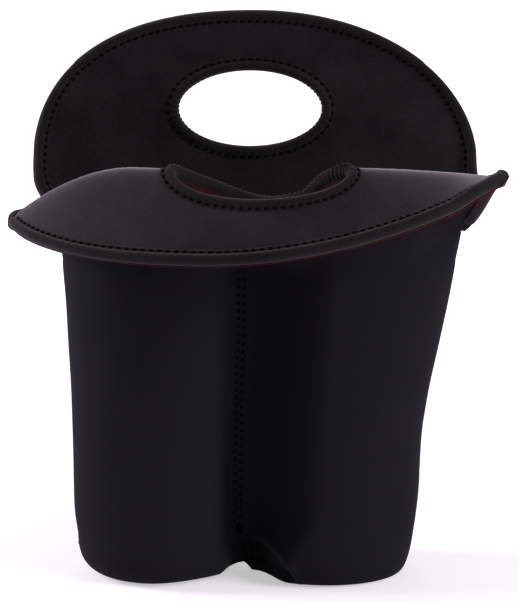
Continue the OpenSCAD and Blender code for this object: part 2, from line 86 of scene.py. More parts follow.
HOLE_W, HOLE_D, HOLE_X, HOLE_Y = 45.3, 17.0, 2.9, -75.5
BACK_HOLE_W, BACK_HOLE_D, BACK_HOLE_H = 41.3, 22.2, 255.7
MOUTH_POWER = 2.2
# How far apart points lie: inside a sheet and its facing, along its edges, and along a rolled binding
SHEET_SPACING, FACING_SPACING = 2.6, 4.0
SIDE_SPACING, RIM_SPACING, HOLE_SPACING = 1.6, 1.8, 1.6
BINDING_SPACING, FRONT_RING_SPACING, BACK_RING_SPACING = 0.7, 0.55, 0.6
CUT_POINTS = 90


def clamp(s):
    return np.clip(s, 0.0, 1.0)


def smooth(s):
    c = clamp(s)
    return c * c * (3 - 2 * c)


def mix(a, b, s):
    return a + (b - a) * s


def grids(*values):
    return np.broadcast_arrays(*(np.asarray(v, float) for v in values))


def unit(v):
    return v / np.maximum(np.linalg.norm(v, axis=-1, keepdims=True), 1e-12)


# Pockets

EASE_STEPS = (-6.0, -3.0, 0.0, 3.0, 6.0)
EASE_END = 9.0


def eased(z, values):
    """A value at a height, with the corners between the given heights smoothed."""
    z = clamp(z / FOLD_H) * FOLD_H
    total = sum(np.interp(z + step, SIDE_HEIGHTS, values) for step in EASE_STEPS) / len(EASE_STEPS)
    return mix(total, np.interp(z, SIDE_HEIGHTS, values), smooth((z - FOLD_H + EASE_END) / EASE_END))


def side_w(left, z):
    return np.where(left, eased(z, LEFT_SIDE), eased(z, RIGHT_SIDE))


def depth(face, z):
    mouth = FRONT_MOUTH_DEPTH if face < 0 else BACK_MOUTH_DEPTH
    return mix(LOW_DEPTH, mouth, clamp(z / FOLD_H) ** 3)


def mouth_arc(face, x, z):
    right, left = side_w(False, z), side_w(True, z)
    middle, half = (right - left) / 2, (right + left) / 2
    share = np.minimum(1, np.abs(x - middle) / half)
    return (depth(face, z) - SHEET) * (1 - share ** MOUTH_POWER)


def on_mouth(X):
    return np.clip(X, -LEFT_MOUTH_W, RIGHT_MOUTH_W)


def phi_of(X):
    """Angle round a pocket of a place X on the mouth line: 0 at the centre seam, pi at the side seam."""
    a = np.where(X < 0, LEFT_MOUTH_W - STRIP, RIGHT_MOUTH_W - STRIP) / 2
    return np.arccos(np.clip((STRIP + a - np.abs(X)) / a, -1, 1))


# The right pocket's inner corner: the crease's height at the seam and where it reaches the floor, the ridge
# over it, the facet under it, and a short groove that climbs across the facet
CREASE_H, CREASE_END, CREASE_TILT = 19.8, 31.0, 0.8
RIDGE_D, RIDGE_UP, RIDGE_W = 2.0, 2.4, 2.6
FACET_D, FACET_UP, FACET_W = 8.5, 0.8, 5.0
GROOVE_X, GROOVE_H, GROOVE_LENGTH = 3.0, 9.0, 12.0
GROOVE_COS, GROOVE_SIN = 0.79, 0.61
GROOVE_D, GROOVE_W, GROOVE_STEP = 1.5, 0.9, 0.9


def bottom_fold(X, z):
    """The inner lower corner of the right pocket's front: a soft ridge, and a facet turned in under it."""
    crease = CREASE_H * (1 - clamp(X / CREASE_END) ** 4)
    d = (z - crease) * CREASE_TILT
    ridge = RIDGE_D * np.exp(-((d - RIDGE_UP) / RIDGE_W) ** 2)
    facet = FACET_D * smooth((FACET_UP - d) / FACET_W) * smooth((z - 0.5) / 7.0)
    side = (z - GROOVE_H) * GROOVE_COS - (X - GROOVE_X) * GROOVE_SIN
    along = (z - GROOVE_H) * GROOVE_SIN + (X - GROOVE_X) * GROOVE_COS
    start, end = smooth(along / 2.0), smooth((GROOVE_LENGTH - along) / 3.0)
    groove = GROOVE_D * np.exp(-(side / GROOVE_W) ** 2) * start * end
    groove = groove + GROOVE_STEP * smooth(side / 1.5) * start * end
    return (facet + groove - ridge) * smooth((X + 1.0) / 4.0) * smooth((34.0 - X) / 6.0)


def ripple(X, z, face):
    """The soft unevenness of cloth that holds its own shape."""
    s = 0.55 * np.sin(X / 17.0 + z / 61.0 + face) + 0.35 * np.sin(X / 9.5 - z / 43.0 + 1.3)
    s = s + 0.4 * np.sin(z / 33.0 + X / 40.0 + 2.0 * face) + 0.18 * np.sin(z / 13.0 - X / 15.0)
    return s * smooth((z - 14.0) / 40.0) * smooth((FOLD_H - z) / 40.0)


LEFT_NOTCH_W, RIGHT_NOTCH_W = 11.0, 5.5
LEFT_RISE, LEFT_RISE_X, LEFT_RISE_W = 1.6, 55.0, 40.0


def foot_lift(x):
    """How far the bottom edge stands over the floor: the centre seam's notch and the left pocket's rise."""
    near = 1 - smooth(np.abs(x) / np.where(x < 0, LEFT_NOTCH_W, RIGHT_NOTCH_W))
    rise = LEFT_RISE * smooth((LEFT_RISE_X + x) / LEFT_RISE_W) * (x < 0)
    return rise + (NOTCH_H - rise) * near


# How much of a pocket the valley at the centre seam takes up at the floor, and how it grows upwards
LOW_VALLEY_SHARE, RIGHT_LOW_VALLEY_SHARE, VALLEY_START = 0.08, 0.22, 4.0
SIDE_DRAW, SIDE_DRAW_ANGLE = 0.55, 0.10
LEAN_TOP, LEAN_RUN, LEAN_FOOT, LEAN_W = 190.0, 150.0, 26.0, 28.0


def pocket(face, X, z, outer, inset=0.0):
    """A place on the pockets' sheet, from a place on the mouth line and a height."""
    X, z, inset = grids(X, z, inset)
    left = X < 0
    sign = np.where(left, -1.0, 1.0)
    phi = np.where(np.abs(X) < STRIP, 0.0, phi_of(X))
    a = (side_w(left, z) - STRIP) / 2
    opened = smooth((z - SEAM_HIGH) / (FOLD_H - SEAM_HIGH))
    # The right pocket is empty, so its front rises more gently from the centre seam
    gentle = mix(RIGHT_LOW_VALLEY_SHARE, RIGHT_VALLEY_SHARE, smooth((z - VALLEY_START) / 40.0))
    steep = mix(LOW_VALLEY_SHARE, VALLEY_SHARE, smooth((z - VALLEY_START) / 30.0))
    share = np.where(left | (face > 0), steep, gentle)
    valley = smooth((1 - np.cos(phi)) / 2 / share)
    d = depth(face, z)
    scale = (d - inset * np.where(left, LEFT_TURN, 1.0)) / d
    if outer:
        round_y = SHEET * np.cos(phi / 2) ** 2 + (d - SHEET / 2) * np.sin(phi) * valley
        wall_x = 0.0
    else:
        round_y = (d - SHEET) * np.sin(phi) * valley
        wall_x = SHEET * np.cos(phi) * valley * (1 - opened)
    in_strip = np.abs(X) < STRIP
    inner_turn = np.where(left, INNER_TURN, RIGHT_INNER_TURN)
    turned_in = inset * mix(np.where(left, LEFT_TURN, RIGHT_TURN), inner_turn, np.cos(phi / 2) ** 4)
    x = sign * (STRIP + a - (a - turned_in) * np.cos(phi) + wall_x)
    x = np.where(in_strip, X * (STRIP + inset * inner_turn) / STRIP, x)
    arc = mouth_arc(face, x, z) + (SHEET if outer else 0.0)
    y = mix(round_y * scale, arc, opened)
    swell = np.sin(phi) * valley * (1 - opened)
    y = y + swell * ripple(X, z, face)
    if face < 0:
        y = y - np.where(left, 0.0, bottom_fold(x, z)) * (1 - opened) * (0.55 + 0.45 * clamp(y / 10.0))
    # The cloth draws in a little at the side seams
    seam = np.exp(-((math.pi - phi) / SIDE_DRAW_ANGLE) ** 2) * (1 - opened)
    x = x - sign * (SIDE_DRAW * seam if outer else 0.0)
    lift = foot_lift(x) * (1 - clamp(z / SEAM_LOW))
    # The centre seam leans a little to the left on its way down
    lean = smooth((LEAN_TOP - z) / LEAN_RUN) * smooth((z - 2.0) / LEAN_FOOT) * (1 - opened)
    x = x - SEAM_LEAN * lean * np.exp(-(x / LEAN_W) ** 2)
    return np.stack([x, face * y, z + lift], -1)


# Front flap: x is measured from the middle of the mouth

# How late the crest and the rim bend towards each tip, and how the side runs out to the tip
LEFT_CREST_BEND, RIGHT_CREST_BEND = 1.85, 1.5
LEFT_RIM_BEND, RIGHT_RIM_BEND = 3.3, 1.9
SIDE_BEND = 1.35
RIGHT_RIM_OVER, RIGHT_FLICK, RIGHT_FLICK_X, RIGHT_FLICK_W = 3.0, 2.2, 98.0, 18.0


def crest_line(x):
    return -TIP_Y - (CREST_Y - TIP_Y) * (1 - np.minimum(1, np.abs(x) / FLAP_W) ** 2)


def rim_line(x):
    return -TIP_Y - (RIM_REACH - TIP_Y) * np.sqrt(np.maximum(0, 1 - (x / FLAP_W) ** 2))


def base_line(x):
    return -HALF_GAP - (FRONT_MOUTH_DEPTH - SHEET) * (1 - np.minimum(1, np.abs(x) / MOUTH_W) ** MOUTH_POWER)


def side_line(x):
    u = clamp((np.abs(x) - MOUTH_W) / (FLAP_W - MOUTH_W))
    return -HALF_GAP - (TIP_Y - HALF_GAP) * u ** SIDE_BEND


def crest_height(x):
    left = np.maximum(0, (LEFT_DROOP_X - x) / (FLAP_W + LEFT_DROOP_X)) ** LEFT_CREST_BEND
    right = np.maximum(0, (x - RIGHT_DROOP_X) / (FLAP_W - RIGHT_DROOP_X)) ** RIGHT_CREST_BEND
    return CREST_H - (CREST_H - LEFT_TIP_H) * left - (CREST_H - RIGHT_TIP_H) * right


def rim_height(x):
    left = x < RIM_LOW_X
    run = np.abs(x - RIM_LOW_X) / np.where(left, FLAP_W + RIM_LOW_X, FLAP_W - RIM_LOW_X)
    left_rise = (LEFT_TIP_H - RIM_LOW_H) * run ** LEFT_RIM_BEND
    flick = RIGHT_FLICK * smooth((x - RIGHT_FLICK_X) / RIGHT_FLICK_W)
    right_rise = (RIGHT_TIP_H + RIGHT_RIM_OVER - RIM_LOW_H) * run ** RIGHT_RIM_BEND + flick
    return RIM_LOW_H + np.where(left, left_rise, right_rise)


def fold_drop(d):
    return np.sqrt(d * d + FOLD_R * FOLD_R) - FOLD_R


def front_height(x, y):
    crest, top = crest_line(x), crest_height(x)
    d = crest - y
    fore = (top - rim_height(x)) / fold_drop(np.maximum(FOLD_R, crest - rim_line(x)))
    rear = (top - FOLD_H - HALF_GAP) / fold_drop(np.maximum(FOLD_R, base_line(x) - crest))
    return top - fold_drop(d) * np.where(d > 0, fore, rear)


SAG = 6.6


def hole_sag(x, y):
    """The collar's edge of the hand hole droops between its two ends, most on the right of its middle."""
    x = x - 2.0
    across = smooth(np.where(x < 11.0, (x + 29.0) / 40.0, (34.5 - x) / 13.5))
    back = smooth((y + 80.0) / 14.0) * smooth((-31.0 - y) / 26.0)
    return SAG * across * back


def flap_front(x, y):
    x, y = grids(x, y)
    middle = MOUTH_X - FRONT_SHIFT * smooth(-y / TIP_Y)
    return np.stack([x + middle, y, front_height(x, y) - hole_sag(x, y)], -1)


# Back flap

BACK_WIDEN_H = 26.0


def back_half(z):
    return mix(MOUTH_W, BACK_W, smooth((z - FOLD_H) / BACK_WIDEN_H))


def back_depth_at(x, z):
    s = (z - FOLD_H) / (BACK_TOP_H - FOLD_H)
    middle = mix(BACK_MOUTH_DEPTH - SHEET, BACK_TOP_Y, smooth(s))
    side = np.minimum(middle, HALF_GAP + SIDE_LEAN * (z - FOLD_H))
    return mix(middle, side, np.minimum(1, np.abs(x) / back_half(z)) ** MOUTH_POWER)


def flap_back(x, z):
    x, z = grids(x, z)
    middle = MOUTH_X - BACK_SHIFT * smooth((z - FOLD_H) / (BACK_WIDE_H - FOLD_H))
    return np.stack([x + middle, back_depth_at(x, z), z], -1)


def normal_of(surface, p, q, step=0.5):
    along = surface(p + step, q) - surface(p - step, q)
    across = surface(p, q + step) - surface(p, q - step)
    return unit(np.cross(along, across))


# Sheets over a flat pattern

def inside(points, loop):
    x, y = points[:, 0][:, None], points[:, 1][:, None]
    x0, y0 = loop[:, 0], loop[:, 1]
    x1, y1 = np.roll(x0, -1), np.roll(y0, -1)
    crosses = (y0 > y) != (y1 > y)
    rise = np.where(np.abs(y1 - y0) < 1e-12, 1e-12, y1 - y0)
    return (crosses & (x < (x1 - x0) * (y - y0) / rise + x0)).sum(1) % 2 == 1


def near_loop(points, loop):
    a, b = loop[None], np.roll(loop, -1, 0)[None]
    p = points[:, None]
    ab = b - a
    t = clamp(((p - a) * ab).sum(-1) / np.maximum((ab * ab).sum(-1), 1e-12))
    return np.linalg.norm(p - a - ab * t[..., None], axis=-1).min(1)


def pattern(loops, spacing):
    """Triangles that fill the first loop and leave out the others, with inner points a spacing apart."""
    outline = loops[0]
    low, high = outline.min(0), outline.max(0)
    rows = np.arange(low[1] + spacing / 2, high[1], spacing * 0.866)
    points = []
    for k, y in enumerate(rows):
        xs = np.arange(low[0] + spacing * (0.25 + 0.5 * (k % 2)), high[0], spacing)
        points.append(np.stack([xs, np.full_like(xs, y)], -1))
    points = np.concatenate(points)
    points = points[inside(points, outline)]
    for loop in loops:
        points = points[near_loop(points, loop) > spacing * 0.55]
    for loop in loops[1:]:
        points = points[~inside(points, loop)]
    edges, start = [], 0
    for loop in loops:
        edges += [(start + k, start + (k + 1) % len(loop)) for k in range(len(loop))]
        start += len(loop)
    flat = np.concatenate(list(loops) + [points])
    out = delaunay_2d_cdt([Vector(p) for p in flat], edges, [], 0, 1e-6)
    verts = np.array([tuple(v) for v in out[0]])
    tris = np.array([tuple(f) for f in out[2]])
    middle = verts[tris].mean(1)
    keep = inside(middle, outline)
    for loop in loops[1:]:
        keep &= ~inside(middle, loop)
    tris = tris[keep]
    a, b, c = verts[tris[:, 0]], verts[tris[:, 1]], verts[tris[:, 2]]
    turn = (b - a)[:, 0] * (c - a)[:, 1] - (b - a)[:, 1] * (c - a)[:, 0]
    tris = tris[np.abs(turn) > 1e-7]
    turn = turn[np.abs(turn) > 1e-7]
    tris[turn < 0] = tris[turn < 0][:, ::-1]
    used = np.unique(tris)
    order = np.full(len(verts), -1)
    order[used] = np.arange(len(used))
    return verts[used], [tuple(int(i) for i in order[t]) for t in tris]


SHARP_ANGLE = 60


def new_piece(name, points, faces, shown_from=0):
    """A piece from points in millimetres; the flap's shown face starts at the polygon shown_from."""
    mesh = bpy.data.meshes.new(name)
    mesh.from_pydata([tuple(p) for p in np.asarray(points) * MM], [], faces)
    mesh.validate()
    mesh.shade_smooth()
    mesh.set_sharp_from_angle(angle=math.radians(SHARP_ANGLE))
    piece = bpy.data.objects.new(name, mesh)
    bpy.context.scene.collection.objects.link(piece)
    piece["shown_from"] = shown_from
    return piece


def closed_slab(top, bottom, faces):
    """Points and faces of a sheet with two faces and its edges closed; faces turn out of the top."""
    count = len(top)
    seen = set()
    for f in faces:
        for k in range(len(f)):
            seen.add((f[k], f[(k + 1) % len(f)]))
    walls = [(b, a, a + count, b + count) for a, b in seen if (b, a) not in seen]
    under = [tuple(i + count for i in reversed(f)) for f in faces]
    return np.concatenate([top, bottom]), list(faces) + under + walls, len(faces)


def welded(points, faces, near=0.02):
    """One point for all that lie together."""
    key = np.round(points / near).astype(np.int64)
    found, order, keep = {}, np.zeros(len(points), int), []
    for i, k in enumerate(map(tuple, key)):
        if k not in found:
            found[k] = len(keep)
            keep.append(i)
        order[i] = found[k]
    out = []
    for f in faces:
        g = []
        for i in f:
            j = int(order[i])
            if not g or g[-1] != j:
                g.append(j)
        if len(g) > 1 and g[0] == g[-1]:
            g.pop()
        if len(set(g)) > 2:
            out.append(tuple(g))
    return points[keep], out


def run_along(points, closed):
    """How far along a line each of its points is, and how long the line is."""
    step = np.linalg.norm(np.diff(points, axis=0), axis=1)
    run = np.concatenate([[0], np.cumsum(step)])
    whole = run[-1] + (np.linalg.norm(points[0] - points[-1]) if closed else 0.0)
    return run, whole


def spaced(line, step, closed=False):
    """The same line with points about a step apart."""
    line = np.asarray(line, float)
    if closed:
        line = np.concatenate([line, line[:1]])
    run = run_along(line, False)[0]
    count = max(2, int(round(run[-1] / step)))
    at = np.linspace(0, run[-1], count + 1)
    out = np.stack([np.interp(at, run, line[:, k]) for k in range(line.shape[1])], -1)
    return out[:-1] if closed else out


# Outlines of the front flap

CUT_Y = -52.0
CUT_X = FLAP_W * math.sqrt(1 - ((-CUT_Y - TIP_Y) / (RIM_REACH - TIP_Y)) ** 2)
TIP_R = 7.0


def rim_curve(angle):
    return np.stack([FLAP_W * np.cos(angle), -TIP_Y - (RIM_REACH - TIP_Y) * np.sin(angle)], -1)


def level(start, end, at, count=CUT_POINTS):
    """A straight row of points across a flat pattern."""
    return np.stack([np.linspace(start, end, count), np.full(count, at)], -1)


def rounded_tip(line, corner, radius):
    """Cuts the corner point off a line with a curve that starts a radius before it and ends one after."""
    before = after = corner
    while before > 0 and np.linalg.norm(line[before] - line[corner]) < radius:
        before -= 1
    while after < len(line) - 1 and np.linalg.norm(line[after] - line[corner]) < radius:
        after += 1
    t = np.linspace(0, 1, 9)[:, None]
    p, q, r = line[before], line[corner], line[after]
    bend = (1 - t) ** 2 * p + 2 * t * (1 - t) * q + t * t * r
    return np.concatenate([line[:before], bend, line[after + 1:]])


def flap_side(sign):
    """From the side seam's top, along the side to the tip and round to the rim at the cut."""
    xs = mix(MOUTH_W, FLAP_W, np.linspace(0, 1, 60))
    side = np.stack([xs, side_line(xs)], -1)
    rim = rim_curve(np.linspace(0, math.acos(CUT_X / FLAP_W), 24)[1:])
    rim[-1] = (CUT_X, CUT_Y)
    line = rounded_tip(np.concatenate([side, rim]), len(side) - 1, TIP_R)
    line = spaced(line, SIDE_SPACING)
    line[:, 0] *= sign
    return line


def rim_arc():
    """The rim in front of the cut, from left to right."""
    start = math.acos(CUT_X / FLAP_W)
    arc = spaced(rim_curve(np.linspace(math.pi - start, start, 400)), RIM_SPACING)
    arc[0], arc[-1] = (-CUT_X, CUT_Y), (CUT_X, CUT_Y)
    return arc


def front_hole(step):
    return ellipse(HOLE_W, HOLE_D, HOLE_Y, step) + (HOLE_X, 0)


def back_hole(step, middle=-BACK_HOLE_SHIFT):
    return ellipse(BACK_HOLE_W, BACK_HOLE_D, BACK_HOLE_H, step) + (middle, 0)


def ellipse(half_w, half_h, middle, step):
    angle = np.linspace(0, 2 * math.pi, 721)[:-1]
    ring = np.stack([half_w * np.cos(angle), middle + half_h * np.sin(angle)], -1)
    return spaced(ring, step, closed=True)


# The front sheet's lower piece: pockets' front, mouth fold and collar

ROUND_MOUTH = 17.0
GRID_TOP, GRID_MIDDLE = 175.0, 36.0
POCKET_COLUMNS = 84
CURVE_SHARE = 0.55


def low_sheet(X, v, outer):
    X, v = grids(X, v)
    x = X - MOUTH_X

    def above(v):
        y = base_line(x) - np.maximum(v - FOLD_H, 0)
        top = flap_front(x, y)
        if outer:
            top = top - SHEET * normal_of(flap_front, x, y)
        return top

    def below(v):
        return pocket(FRONT, on_mouth(X), np.minimum(v, FOLD_H), outer)

    plain = np.where((v > FOLD_H)[..., None], above(v), below(v))
    radius = ROUND_MOUTH * smooth((MOUTH_W - np.abs(x)) / 30.0)
    safe = np.maximum(radius, 1e-3)
    t = clamp((v - FOLD_H + safe) / (2 * safe))[..., None]
    corner = below(np.full_like(v, FOLD_H))
    if outer:
        inner = pocket(FRONT, on_mouth(X), np.full_like(v, FOLD_H), False)
        a = corner - inner
        b = -SHEET * normal_of(flap_front, x, base_line(x) - 0.6)
        turn = (a * b).sum(-1, keepdims=True) / SHEET ** 2
        corner = inner + (a + b) / np.maximum(1 + turn, 0.5)
    bend = (1 - t) ** 2 * below(FOLD_H - safe) + 2 * t * (1 - t) * corner + t * t * above(FOLD_H + safe)
    use = ((radius > 0.5) & (np.abs(v - FOLD_H) < radius))[..., None]
    return np.where(use, bend, plain)


def side_columns(half):
    """Places across one pocket, closer together where it curves most."""
    phi = np.linspace(0, math.pi, 400)
    measure = (1 - CURVE_SHARE) * phi / math.pi + CURVE_SHARE * (1 - np.cos(phi)) / 2
    return STRIP + half * (1 - np.cos(np.interp(np.linspace(0, 1, POCKET_COLUMNS), measure, phi)))


left_columns = side_columns((LEFT_MOUTH_W - STRIP) / 2)
right_columns = side_columns((RIGHT_MOUTH_W - STRIP) / 2)
COLUMNS = np.concatenate([-left_columns[::-1], [-1.75, 0.0, 1.75], right_columns])


def pocket_rows():
    """Heights of the grid's rows, and how far each is drawn in at the rounded bottom edge."""
    turn = np.linspace(0, math.pi / 2, 19)
    rows = [(ROUND_H * (1 - math.cos(t)), ROUND_IN * (1 - math.sin(t))) for t in turn]
    rows += [(z, 0.0) for z in np.linspace(ROUND_H, GRID_MIDDLE, 18)[1:]]
    rows += [(z, 0.0) for z in np.linspace(GRID_MIDDLE, GRID_TOP, 64)[1:]]
    return rows


def pocket_grid(face):
    """Outer and inner points of the pockets' sheet up to the grid's top, and the faces of its outer side."""
    rows = pocket_rows()
    outer, inner = [], []
    for z, inset in rows:
        outer.append(pocket(face, COLUMNS, z, True, inset))
        inner_z = SHEET + z * (ROUND_H - SHEET) / ROUND_H if z < ROUND_H else z
        inner.append(pocket(face, COLUMNS, inner_z, False, inset * (ROUND_IN - SHEET) / ROUND_IN))
    wide = len(COLUMNS)
    faces = []
    for r in range(len(rows) - 1):
        for c in range(wide - 1):
            a = r * wide + c
            f = (a, a + 1, a + wide + 1, a + wide)
            faces.append(f if face < 0 else f[::-1])
    return np.concatenate(outer), np.concatenate(inner), faces


def pattern_foot():
    """The pattern's outline under the mouth: the grid's top row and the side seams up from it."""
    up = np.arange(GRID_TOP, FOLD_H - 1, 2.4)[1:]
    foot = np.stack([COLUMNS, np.full_like(COLUMNS, GRID_TOP)], -1)
    right_up = np.stack([np.full_like(up, RIGHT_MOUTH_W), up], -1)
    left_up = np.stack([np.full_like(up, -LEFT_MOUTH_W), up], -1)
    return foot, right_up, left_up[::-1]


def whole_sheet(face, high, loops):
    """The pockets' grid and the pattern above it, as one closed sheet."""
    flat, tris = pattern(loops, SHEET_SPACING)
    outer, inner, faces = pocket_grid(face)
    high_out = high(flat[:, 0], flat[:, 1], True)
    high_in = high(flat[:, 0], flat[:, 1], False)
    count = len(outer)
    faces = faces + [tuple(i + count for i in (t if face < 0 else t[::-1])) for t in tris]
    both = np.concatenate([np.concatenate([outer, high_out]), np.concatenate([inner, high_in])], 1)
    both, faces = welded(both, faces)
    return closed_slab(both[:, :3], both[:, 3:], faces)


def make_front_low():
    def lifted(line):
        return np.stack([line[:, 0] + MOUTH_X, FOLD_H + base_line(line[:, 0]) - line[:, 1]], -1)

    foot, right_up, left_down = pattern_foot()
    right, left = lifted(flap_side(1)), lifted(flap_side(-1))[::-1]
    cut = lifted(level(-CUT_X, CUT_X, CUT_Y))[::-1][1:-1]
    return whole_sheet(FRONT, low_sheet, [np.concatenate([foot, right_up, right, cut, left, left_down])])


def make_front_high():
    cut = level(-CUT_X, CUT_X, CUT_Y)[::-1][1:-1]
    loop = np.concatenate([rim_arc(), cut])
    flat, tris = pattern([loop, front_hole(HOLE_SPACING)], SHEET_SPACING)
    top = flap_front(flat[:, 0], flat[:, 1])
    under = top - SHEET * normal_of(flap_front, flat[:, 0], flat[:, 1])
    return closed_slab(top, under, tris)


# The back sheet: pockets' back and the flap that stands up from it

def back_side(fullness):
    """Half of the back flap's outline, from the side seam's top to the middle of the top."""
    z = np.linspace(FOLD_H, BACK_WIDE_H, 40)
    side = np.stack([back_half(z), z], -1)
    angle = np.linspace(0, math.pi / 2, 160)[1:]
    wide, high = np.cos(angle) ** (2 / fullness), np.sin(angle) ** (2 / fullness)
    arc = np.stack([BACK_W * wide, BACK_WIDE_H + (BACK_TOP_H - BACK_WIDE_H) * high], -1)
    return np.concatenate([side, arc])


def back_outline():
    right, left = back_side(RIGHT_FULLNESS), back_side(LEFT_FULLNESS)
    line = np.concatenate([right, (left * (-1, 1))[::-1][1:]])
    return spaced(line, RIM_SPACING)


def high_back(X, v, outer):
    X, v = grids(X, v)
    x = X - MOUTH_X
    z = np.maximum(v, FOLD_H)
    flap = flap_back(x, z)
    if outer:
        flap = flap - SHEET * normal_of(flap_back, x, z)
    lower = pocket(BACK, on_mouth(X), np.minimum(v, FOLD_H), outer)
    mouth = pocket(BACK, on_mouth(X), FOLD_H, outer)
    start = flap_back(x, FOLD_H)
    if outer:
        start = start - SHEET * normal_of(flap_back, x, FOLD_H + 0.6)
    # The two surfaces are brought together at the mouth
    gap = (mouth - start) * (1 - smooth((v - FOLD_H) / 14.0))[..., None] * (np.abs(x) <= MOUTH_W)[..., None]
    return np.where((v > FOLD_H)[..., None], flap + gap, lower)


def make_back():
    foot, right_up, left_down = pattern_foot()
    loop = np.concatenate([foot, right_up, back_outline() + (MOUTH_X, 0), left_down])
    return whole_sheet(BACK, high_back, [loop, back_hole(HOLE_SPACING, MOUTH_X - BACK_HOLE_SHIFT)])


# Bindings and threads along a line on a sheet

# The binding's section: how far out of the sheet's edge, and how far over its shown face
BINDING = np.array([
    (-6.3, -0.25), (-6.3, 0.15), (-6.05, 0.34), (-5.65, 0.26), (-5.3, 0.12), (-4.9, 0.08), (-4.5, 0.12),
    (-4.15, 0.5), (-3.8, 1.1), (-3.2, 1.65), (-2.3, 2.02), (-1.3, 2.06), (-0.3, 1.7), (0.5, 0.9), (1.1, -0.4),
    (1.35, -1.9), (1.1, -3.2), (0.3, -4.3), (-1.0, -4.85), (-2.6, -4.95), (-4.4, -4.8), (-6.3, -4.7),
    (-6.3, -3.8),
])
STITCH_INSET = 4.9
STITCH_PITCH = 4.3
# How far the cloth stands up between two stitches, and how far each stitch draws the roll beside it in
GROOVE_RISE, GROOVE_RISE_W = 0.7, 0.55
ROLL_DRAWN, ROLL_IN, ROLL_W = 0.35, 3.4, 0.9
GATHER_PITCH = 2.7
DEEPER = 0.5
THIN_RUN = 13.0
# Stitches, each as pitch, length, radius of the thread and how far it stands up in its middle
EDGE_STITCH = (STITCH_PITCH, 2.9, 0.85, 0.1)
CENTRE_STITCH = (4.4, 2.7, 0.62, 0.25)
CENTRE_BAR = (5.2, 4.6, 0.34, 0.2)
SIDE_STITCH = (4.4, 2.9, 0.3, 0.1)
CORNER_BAR = (4.8, 4.6, 0.42, 0.15)
BOTTOM_STITCH = (4.4, 2.9, 0.42, 0.3)
THREAD_SHARES = np.array([-1.0, -0.82, -0.45, 0.0, 0.45, 0.82, 1.0])
THREAD_SIDES = 7


def edge_frame(surface, line, closed, outward):
    """Points of a line on a surface, the way out of the sheet there, and the surface's normal."""
    points = surface(line[:, 0], line[:, 1])
    normals = normal_of(surface, line[:, 0], line[:, 1])
    if closed:
        along = np.roll(points, -1, 0) - np.roll(points, 1, 0)
    else:
        along = np.gradient(points, axis=0)
    out = unit(np.cross(along, normals)) * outward
    return points, out, normals


def sweep(rings, closed):
    count, wide = rings.shape[:2]
    faces = []
    for r in range(count if closed else count - 1):
        for c in range(wide):
            a, b = r * wide, (r + 1) % count * wide
            faces.append((a + c, a + (c + 1) % wide, b + (c + 1) % wide, b + c))
    if not closed:
        faces.append(tuple(range(wide))[::-1])
        faces.append(tuple((count - 1) * wide + c for c in range(wide)))
    return rings.reshape(-1, 3), faces


def outward_faces(points, faces):
    """Turns every face over if the closed form is inside out."""
    volume = 0.0
    for f in faces:
        for k in range(1, len(f) - 1):
            a, b, c = points[f[0]], points[f[k]], points[f[k + 1]]
            volume += float(np.dot(a, np.cross(b, c)))
    return faces if volume > 0 else [tuple(reversed(f)) for f in faces]


def binding(surface, line, closed, outward, gather=None, deep=None, start_thin=False):
    """The rolled edge along a line, gathered, drawn in deeper or thinner at its start where asked."""
    points, out, up = edge_frame(surface, line, closed, outward)
    run, whole = run_along(points, closed)
    sewn, sewn_whole = run_along(points - out * STITCH_INSET, closed)
    count = max(1, int(sewn_whole // STITCH_PITCH))
    rings = []
    for k in range(len(line)):
        u, h = BINDING[:, 0].copy(), BINDING[:, 1].copy()
        proud = (0.5 + 0.5 * math.cos(2 * math.pi * count * sewn[k] / sewn_whole)) ** 1.4
        h = h + GROOVE_RISE * proud * np.exp(-((u + STITCH_INSET) / GROOVE_RISE_W) ** 2) * (h > 0)
        h = h - ROLL_DRAWN * (1 - proud) * np.exp(-((u + ROLL_IN) / ROLL_W) ** 2) * (h > 0)
        if gather is not None:
            roll = np.exp(-((u + 1.2) / 3.2) ** 2)
            wave = math.sin(2 * math.pi * run[k] / GATHER_PITCH + 0.7 * math.sin(run[k] / 9.0))
            size = float(gather(line[k])) * (0.85 + 0.3 * math.sin(run[k] / 5.3))
            h = h + np.where(h > -1.5, 1, -0.4) * roll * size * (0.5 * wave + 0.45)
            u = u + roll * size * (0.42 * wave + 0.3)
        if deep is not None:
            h = h - DEEPER * float(deep(line[k])) * smooth((u + 4.2) / 2.2) * (h < -1.5)
        if start_thin:
            grow = mix(0.3, 1.0, smooth(run[k] / THIN_RUN))
            u, h = u * mix(0.5, 1.0, grow), h * grow
        rings.append(points[k] + out[k] * u[:, None] + up[k] * h[:, None])
    verts, faces = sweep(np.array(rings), closed)
    return verts, outward_faces(verts, faces)


